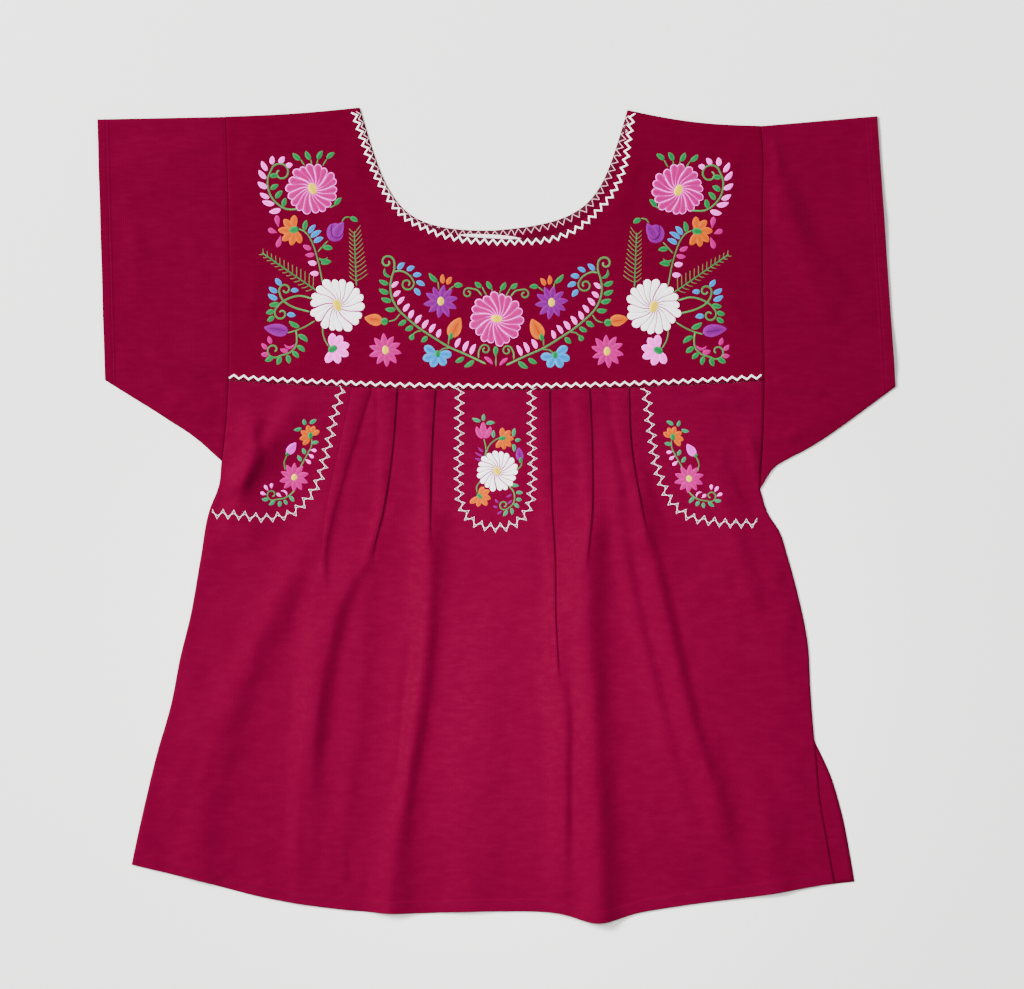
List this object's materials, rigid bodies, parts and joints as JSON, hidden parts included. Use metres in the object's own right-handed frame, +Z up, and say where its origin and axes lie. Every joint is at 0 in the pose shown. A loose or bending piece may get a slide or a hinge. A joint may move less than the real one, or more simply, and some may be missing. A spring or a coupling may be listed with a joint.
{
  "type": "embroidered blouse",
  "caption": "Short-sleeved cotton blouse laid flat, with a scooped neck, an embroidered yoke, a pleated body and a side slit.",
  "frame": {"origin": "middle of the flat face it lies on, at the height of the surface under it", "axes": "+Z up out of the surface, +Y towards the neck, +X towards the right of the picture"},
  "size_m": [0.6382, 0.6516, 0.0141],
  "materials": {
    "body_cotton": "plain woven cotton, matt crimson",
    "yoke_cotton": "plain woven cotton, matt dark crimson",
    "sleeve_cotton": "plain woven cotton, matt dark crimson",
    "white_thread": "white embroidery thread",
    "label_tape": "white woven tape, blank"
  },
  "bodies": {
    "root": {"back_panel": "body_cotton", "back_yoke": "yoke_cotton", "front_panel": "body_cotton", "front_yoke": "yoke_cotton", "sleeve_left": "sleeve_cotton", "sleeve_right": "sleeve_cotton", "neck_braid": "white_thread", "yoke_braid": "white_thread", "neck_label": "label_tape"}
  },
  "joints": []
}
